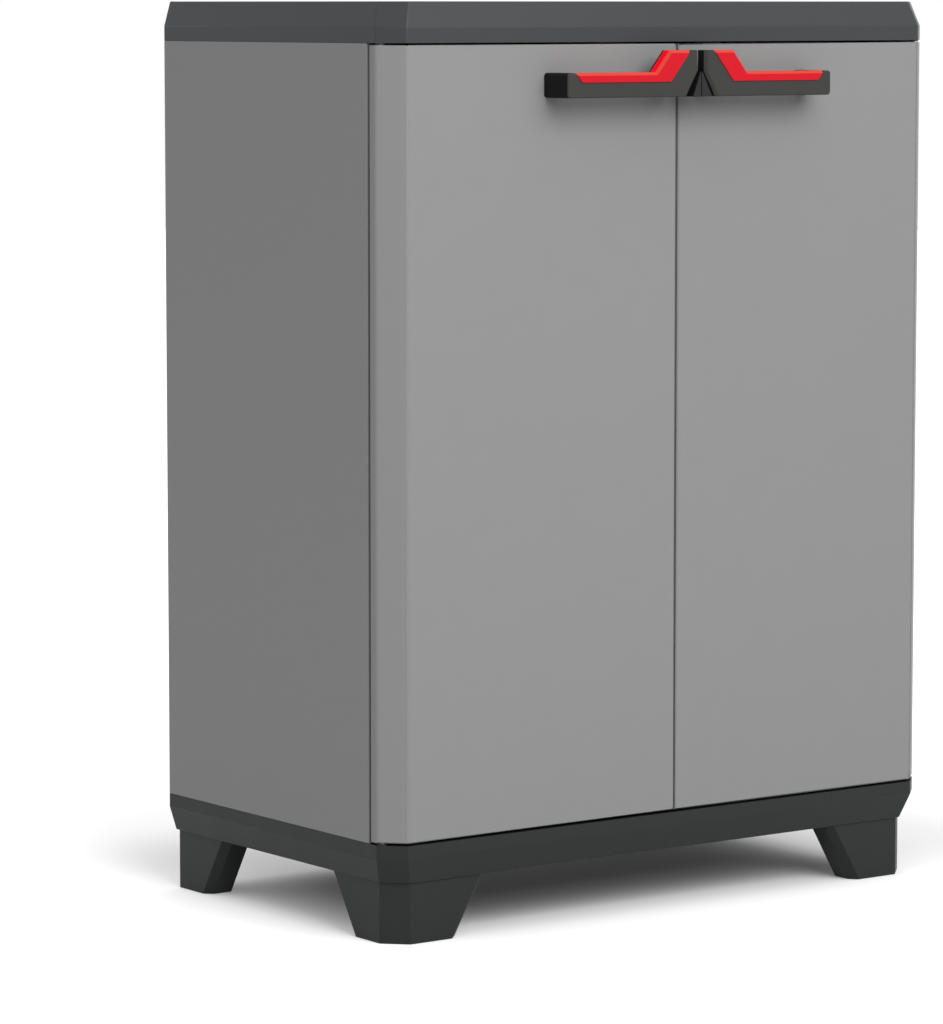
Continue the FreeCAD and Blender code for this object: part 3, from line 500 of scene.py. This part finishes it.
def put_down(bm, name, body, slot, nodes, rounded=()):
    """Turns finished geometry into a piece that rides on a body and stands for CAD nodes."""
    mesh = bpy.data.meshes.new(name)
    bmesh.ops.recalc_face_normals(bm, faces=bm.faces[:])
    for face in bm.faces:
        face.smooth = True
    normals = [
        corner_normal(face, vertex, rounded).normalized() for face in bm.faces for vertex in face.verts
    ]
    bm.to_mesh(mesh)
    bm.free()
    mesh.normals_split_custom_set(normals)
    mesh.materials.append(FINISHES[slot])
    piece = bpy.data.objects.new(name, mesh)
    bpy.context.scene.collection.objects.link(piece)
    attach(piece, body)
    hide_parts(*nodes)
    return piece


def moulding(node, slot, radius, shortest=SHORT, outer_only=False, segments=2):
    """A solid as it leaves its mould, with its outward edges rounded."""
    bm = mesh_of(node)
    rounded = round_edges(bm, sharp_edges(bm, shortest, outer_only), radius, segments)
    return put_down(bm, node + "_moulding", body_of(node), slot, (node,), rounded)


def round_parts(node, slot):
    """A node of pins or bushes, whose edges stay crisp."""
    put_down(mesh_of(node), node + "_moulding", body_of(node), slot, (node,))


def door_skin(node, slot, corner, edge):
    """A door shell with wide turns at its corner bevel and small ones along its rims."""
    bm = mesh_of(node)
    bends = [e for e in sharp_edges(bm, BEND_TALL, True) if e.calc_face_angle() < BEND]
    round_edges(bm, bends, corner, BEND_SEGMENTS)
    rims = [e for e in sharp_edges(bm, RIM_SHORT, True) if e.calc_face_angle() > BEND]
    rounded = round_edges(bm, rims, edge)
    put_down(bm, node + "_moulding", body_of(node), slot, (node,), rounded)


def refinish(piece, finish, least=-1.0, most=1.0):
    """Another finish on the faces that look so far forward: 1 is straight to the front. It paints light
    or shade on the handles by the way their faces look.
    """
    piece.data.materials.append(FINISHES[finish])
    for polygon in piece.data.polygons:
        if least <= -polygon.normal.y <= most:
            polygon.material_index = len(piece.data.materials) - 1


def islands(bm):
    """The separate solids of a mesh, as lists of corners."""
    left = dict.fromkeys(bm.verts)  # in the mesh's order, so that every run gives the same
    found = []
    while left:
        island, waiting = [], [left.popitem()[0]]
        while waiting:
            vertex = waiting.pop()
            island.append(vertex.co.copy())
            for edge in vertex.link_edges:
                other = edge.other_vert(vertex)
                if other in left:
                    del left[other]
                    waiting.append(other)
        found.append(island)
    return found


def ring(bm, radius, height):
    """Corners of a level circle round the origin's axis."""
    turns = [2 * math.pi * i / RING_CORNERS for i in range(RING_CORNERS)]
    return [bm.verts.new((radius * math.cos(a), radius * math.sin(a), height)) for a in turns]


def skin(bm, lower, upper):
    """Faces between two rings with as many corners."""
    count = len(lower)
    for i in range(count):
        k = (i + 1) % count
        bm.faces.new((lower[i], lower[k], upper[k], upper[i]))


def cross(bm, arm, half, height):
    """Corners of a cross recess with arms of this length and half thickness."""
    corners = [(arm, -half), (arm, half), (half, half)]
    turned = []
    for quarter in range(4):
        spin = Matrix.Rotation(quarter * math.pi / 2, 2)
        turned += [spin @ Vector(corner) for corner in corners]
    return [bm.verts.new((x, y, height)) for x, y in turned]


def closed_line(bm, corners):
    """Edges of a closed line of corners, made where they are missing."""
    pairs = [(corners[i - 1], corners[i]) for i in range(len(corners))]
    return [bm.edges.get(pair) or bm.edges.new(pair) for pair in pairs]


def pan_head_screw(head_radius, head_height, shank_radius, shank_length, sizes):
    """Pan head with a cross recess, on a shank with a bevelled tip, head upwards."""
    bm = bmesh.new()
    tip = ring(bm, shank_radius * TIP_WIDTH, -shank_length)
    foot = ring(bm, shank_radius, -shank_length + shank_radius * TIP_LENGTH)
    neck = ring(bm, shank_radius, 0)
    rim = ring(bm, head_radius, 0)
    bm.faces.new(reversed(tip))
    skin(bm, tip, foot)
    skin(bm, foot, neck)
    skin(bm, neck, rim)
    side = head_height * (1 - sizes.dome)
    top = sizes.recess_width * head_radius * DOME_FOOT
    last = rim
    for step in range(DOME_STEPS + 1):
        angle = step / DOME_STEPS * math.pi / 2
        out = top + (head_radius - top) * math.cos(angle)
        layer = ring(bm, out, side + (head_height - side) * math.sin(angle))
        skin(bm, last, layer)
        last = layer
    arm, half = sizes.recess_width * head_radius, sizes.recess_arm * head_radius
    mouth = cross(bm, arm, half, head_height)
    floor = cross(
        bm, arm * RECESS_TAPER, half * RECESS_TAPER, head_height * (1 - sizes.recess_depth)
    )
    skin(bm, mouth, floor)
    bm.faces.new(floor)
    bmesh.ops.triangle_fill(
        bm, use_beauty=True, edges=closed_line(bm, last) + closed_line(bm, mouth)
    )
    return bm


def screws(node, sizes):
    """Pan-head screws in place of a node's plain ones, with the same lengths and radii."""
    source = mesh_of(node)
    whole = bmesh.new()
    for points in islands(source):
        lows = [min(p[k] for p in points) for k in range(3)]
        highs = [max(p[k] for p in points) for k in range(3)]
        middle = [(high + low) / 2 for high, low in zip(highs, lows)]
        # A screw is longer than its head is wide, and its corners lie at its two radii.
        along = max(range(3), key=lambda k: highs[k] - lows[k])
        across = [k for k in range(3) if k != along]
        out = [(math.hypot(*(p[k] - middle[k] for k in across)), p[along]) for p in points]
        head_radius, shank_radius = max(r for r, _ in out), min(r for r, _ in out)
        head = [height for r, height in out if r > (head_radius + shank_radius) / 2]
        up = 1 if highs[along] - max(head) < min(head) - lows[along] else -1
        seat = min(head) if up > 0 else max(head)
        shank = seat - lows[along] if up > 0 else highs[along] - seat
        bm = pan_head_screw(head_radius, max(head) - min(head), shank_radius, shank, sizes)
        axis = Vector([up if k == along else 0 for k in range(3)])
        neck = Vector([seat if k == along else middle[k] for k in range(3)])
        bm.transform(Matrix.Translation(neck) @ axis.to_track_quat("Z", "Y").to_matrix().to_4x4())
        part = bpy.data.meshes.new("one_screw")
        bm.to_mesh(part)
        bm.free()
        whole.from_mesh(part)
        bpy.data.meshes.remove(part)
    source.free()
    put_down(whole, node + "_pan_heads", body_of(node), "zinc_steel", (node,))


class CABINET_OT_finishes(bpy.types.Operator):
    """Make the cabinet's materials."""

    bl_idname = "cabinet.finishes"
    bl_label = "Finishes"

    def execute(self, context):
        FINISHES.update(make_finishes(context.scene))
        return {"FINISHED"}


class CABINET_OT_panels(bpy.types.Operator):
    """Build the side panels, the back panels and the strip that joins them."""

    bl_idname = "cabinet.panels"
    bl_label = "Panels"

    def execute(self, context):
        edges = context.scene.cabinet_edges
        for side in ("left", "right"):
            moulding("side_panel_" + side, "panel_grey", edges.panel_round, outer_only=True)
            moulding("back_panel_" + side, "inner_grey", edges.panel_round, outer_only=True)
        moulding("back_joint_strip", "inner_grey", edges.small_round, outer_only=True)
        return {"FINISHED"}


class CABINET_OT_lid(bpy.types.Operator):
    """Build the lid."""

    bl_idname = "cabinet.lid"
    bl_label = "Lid"

    def execute(self, context):
        radius = context.scene.cabinet_edges.lid_round
        moulding("top_lid", "lid_graphite", radius, outer_only=True, segments=3)
        return {"FINISHED"}


class CABINET_OT_base(bpy.types.Operator):
    """Build the base tray."""

    bl_idname = "cabinet.base"
    bl_label = "Base"

    def execute(self, context):
        radius = context.scene.cabinet_edges.base_round
        moulding("base_tray", "base_black", radius, outer_only=True, segments=3)
        return {"FINISHED"}


class CABINET_OT_feet(bpy.types.Operator):
    """Build the four feet."""

    bl_idname = "cabinet.feet"
    bl_label = "Feet"

    def execute(self, context):
        radius = context.scene.cabinet_edges.base_round
        for end in ("front", "rear"):
            for side in ("left", "right"):
                moulding(f"foot_{end}_{side}", "base_black", radius, outer_only=True)
        return {"FINISHED"}


class CABINET_OT_doors(bpy.types.Operator):
    """Build the door shells and their liners."""

    bl_idname = "cabinet.doors"
    bl_label = "Doors"

    def execute(self, context):
        edges = context.scene.cabinet_edges
        for side in ("left", "right"):
            door_skin("door_shell_" + side, "panel_grey", edges.corner_round, edges.door_round)
            moulding("door_liner_" + side, "inner_grey", edges.small_round, LINER_SHORT)
        return {"FINISHED"}


class CABINET_OT_handles(bpy.types.Operator):
    """Build the handles, their red inserts and the padlock ears."""

    bl_idname = "cabinet.handles"
    bl_label = "Handles"

    def execute(self, context):
        edges = context.scene.cabinet_edges
        for side in ("left", "right"):
            grip = moulding("handle_body_" + side, "handle_graphite", edges.handle_round)
            ear = moulding("padlock_ear_" + side, "handle_graphite", edges.small_round)
            strip = moulding("handle_insert_" + side, "insert_red", edges.insert_round)
            # The handle faces that don't look forward get a black that is partly painted shade.
            refinish(grip, "handle_sides_and_shade", most=FORWARD)
            # Painted shade on the ears' fronts, for the gap between the handles.
            refinish(ear, "ear_painted_shade", least=FORWARD)
            # The ears' sides get the same black, partly painted shade.
            refinish(ear, "handle_sides_and_shade", most=FORWARD)
            # Painted highlight on the inserts' bevels.
            refinish(strip, "insert_painted_highlight", least=FORWARD, most=LEVEL)
            # Painted light on the inserts' thin sides.
            refinish(strip, "insert_side_painted_light", most=FORWARD)
        return {"FINISHED"}


class CABINET_OT_shelves(bpy.types.Operator):
    """Build the shelves and the clips that carry them."""

    bl_idname = "cabinet.shelves"
    bl_label = "Shelves"

    def execute(self, context):
        edges = context.scene.cabinet_edges
        for level in ("lower", "upper"):
            moulding("shelf_" + level, "inner_grey", edges.panel_round, outer_only=True)
            moulding("shelf_clips_" + level, "clip_black", edges.small_round)
        return {"FINISHED"}


class CABINET_OT_fittings(bpy.types.Operator):
    """Build the catches, bushes, pins and screws."""

    bl_idname = "cabinet.fittings"
    bl_label = "Fittings"

    def execute(self, context):
        radius = context.scene.cabinet_edges.small_round
        round_parts("pivot_bushes", "acetal_black")
        moulding("catch_keepers", "acetal_black", radius)
        sizes = context.scene.cabinet_screws
        screws("keeper_screws", sizes)
        for side in ("left", "right"):
            moulding("catch_tongue_" + side, "acetal_black", radius, TONGUE_SHORT)
            screws("catch_screw_" + side, sizes)
            screws("handle_screws_" + side, sizes)
            round_parts("hinge_pins_" + side, "zinc_steel")
        return {"FINISHED"}


# Stage


def seen_rays(tree):
    """1 for the rays that make the picture, a reflection or a view through glass, else 0."""
    path = add(tree, "LightPath")
    direct = add(
        tree, "Math", {"operation": "MAXIMUM"},
        {0: path.outputs["Is Camera Ray"], 1: path.outputs["Is Glossy Ray"]},
    )
    every = add(
        tree, "Math", {"operation": "MAXIMUM"},
        {0: direct.outputs[0], 1: path.outputs["Is Transmission Ray"]},
    )
    return every.outputs[0]


def matt_painted_floor(under, near, far, bounce):
    """Matt white paint, lifted to full white away from the cabinet's shadow. Only what is seen
    of it is lifted, so that it adds no light to the cabinet."""
    material, tree = fresh_material("matt_painted_floor")
    place = add(tree, "TexCoord").outputs["Object"]
    middle = add(tree, "VectorMath", {"operation": "SUBTRACT", 1: SHADE_MIDDLE}, {0: place})
    apart = add(tree, "VectorMath", {"operation": "ABSOLUTE"}, {0: middle.outputs["Vector"]})
    past = add(
        tree, "VectorMath", {"operation": "SUBTRACT", 1: SHADE_HALF}, {0: apart.outputs["Vector"]}
    )
    beyond = add(tree, "VectorMath", {"operation": "MAXIMUM"}, {0: past.outputs["Vector"]})
    away = add(tree, "VectorMath", {"operation": "LENGTH"}, {0: beyond.outputs["Vector"]})
    close = add(
        tree, "MapRange",
        {
            "interpolation_type": "SMOOTHSTEP",
            "From Max": SHADE_FADE,
            "To Min": under,
            "To Max": near,
        },
        {"Value": away.outputs["Value"]},
    )
    wide = add(tree, "MapRange", {"To Max": far - near}, {"Value": away.outputs["Value"]})
    whole = add(tree, "Math", {}, {0: close.outputs["Result"], 1: wide.outputs["Result"]})
    seen = seen_rays(tree)
    lift = add(tree, "Math", {"operation": "MULTIPLY"}, {0: whole.outputs[0], 1: seen})
    white = add(tree, "MapRange", {"To Min": bounce, "To Max": PAINT_WHITE}, {"Value": seen})
    paint = add(tree, "BsdfDiffuse", {}, {"Color": white.outputs["Result"]})
    glow = add(tree, "Emission", {"Color": WHITE}, {"Strength": lift.outputs[0]})
    both = add(tree, "AddShader", {}, {0: paint.outputs[0], 1: glow.outputs[0]})
    add(tree, "OutputMaterial", {}, {"Surface": both.outputs[0]})
    return material


def studio_world(low, high):
    """Soft light from all round, stronger overhead. It shows as plain white behind the cabinet
    and in its sheen."""
    world = bpy.data.worlds.new("studio")
    world.use_nodes = True
    tree = world.node_tree
    tree.nodes.clear()
    place = add(tree, "TexCoord").outputs["Generated"]
    height = add(tree, "SeparateXYZ", {}, {"Vector": place})
    light = add(tree, "MapRange", {"To Min": low, "To Max": high}, {"Value": height.outputs["Z"]})
    level = add(
        tree, "Mix", {MIX_NUMBER_B: 1.0},
        {MIX_SHARE: seen_rays(tree), MIX_NUMBER_A: light.outputs["Result"]},
    )
    sky = add(tree, "Background", {"Color": WHITE}, {"Strength": level.outputs["Result"]})
    add(tree, "OutputWorld", {}, {"Surface": sky.outputs[0]})
    return world


def soft_lamp(name, place, target, size, power):
    """A square lamp that faces a point."""
    lamp = bpy.data.lights.new(name, "AREA")
    lamp.shape = "SQUARE"
    lamp.size = size
    lamp.energy = power
    obj = bpy.data.objects.new(name, lamp)
    aim = Vector(target) - Vector(place)
    obj.matrix_world = Matrix.Translation(place) @ aim.to_track_quat("-Z", "Y").to_matrix().to_4x4()
    bpy.context.scene.collection.objects.link(obj)


class CABINET_OT_stage(bpy.types.Operator):
    """Set the floor, the light and the camera."""

    bl_idname = "cabinet.stage"
    bl_label = "Stage"

    def execute(self, context):
        scene = context.scene
        stage = scene.cabinet_stage
        bm = bmesh.new()
        bmesh.ops.create_circle(bm, cap_ends=True, segments=FLOOR_CORNERS, radius=stage.floor_radius)
        mesh = bpy.data.meshes.new("floor")
        bm.to_mesh(mesh)
        bm.free()
        mesh.materials.append(matt_painted_floor(
            stage.lift_under, stage.lift_near, stage.lift_far, stage.bounce
        ))
        floor = bpy.data.objects.new("floor", mesh)
        floor.location.z = -FLOOR_DROP
        scene.collection.objects.link(floor)
        scene.world = studio_world(stage.sky_low, stage.sky_high)
        soft_lamp("key_lamp", stage.key_place, KEY_AIM, stage.key_size, stage.key)
        soft_lamp("side_lamp", stage.side_place, SIDE_AIM, stage.side_size, stage.side)
        camera = bpy.data.cameras.new("camera")
        camera.lens = stage.lens
        camera.clip_end = SIGHT
        view = bpy.data.objects.new("camera", camera)
        view.location = stage.camera_place
        view.rotation_euler = (math.pi / 2 - stage.camera_tilt, 0, -stage.camera_turn)
        scene.collection.objects.link(view)
        scene.camera = view
        scene.view_settings.view_transform = "Standard"
        return {"FINISHED"}


class CABINET_PT_sidebar(bpy.types.Panel):
    """The cabinet's sizes, colours and pieces"""

    bl_idname = "CABINET_PT_sidebar"
    bl_label = "Workshop cabinet"
    bl_space_type = "VIEW_3D"
    bl_region_type = "UI"
    bl_category = "Cabinet"

    def draw(self, context):
        for group in GROUPS:
            box = self.layout.box()
            settings = getattr(context.scene, group)
            for key in settings.bl_rna.properties.keys():
                if key not in ("rna_type", "name"):
                    box.prop(settings, key)
        for operator in OPERATORS:
            self.layout.operator(operator.bl_idname)


GROUPS = {
    "cabinet_colours": CabinetColours,
    "cabinet_edges": CabinetEdges,
    "cabinet_surface": CabinetSurface,
    "cabinet_screws": CabinetScrews,
    "cabinet_stage": CabinetStage,
}
OPERATORS = (
    CABINET_OT_stage,
    CABINET_OT_finishes,
    CABINET_OT_panels,
    CABINET_OT_lid,
    CABINET_OT_base,
    CABINET_OT_feet,
    CABINET_OT_doors,
    CABINET_OT_handles,
    CABINET_OT_shelves,
    CABINET_OT_fittings,
)


def register():
    for item in (*GROUPS.values(), *OPERATORS, CABINET_PT_sidebar):
        bpy.utils.register_class(item)
    for name, group in GROUPS.items():
        setattr(bpy.types.Scene, name, PointerProperty(type=group))


def unregister():
    for name in GROUPS:
        delattr(bpy.types.Scene, name)
    for item in reversed((*GROUPS.values(), *OPERATORS, CABINET_PT_sidebar)):
        bpy.utils.unregister_class(item)


def main():
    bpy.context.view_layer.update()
    register()
    bpy.ops.cabinet.stage()
    bpy.ops.cabinet.finishes()
    bpy.ops.cabinet.panels()
    bpy.ops.cabinet.lid()
    bpy.ops.cabinet.base()
    bpy.ops.cabinet.feet()
    bpy.ops.cabinet.doors()
    bpy.ops.cabinet.handles()
    bpy.ops.cabinet.shelves()
    bpy.ops.cabinet.fittings()


if __name__ == "__main__":
    main()
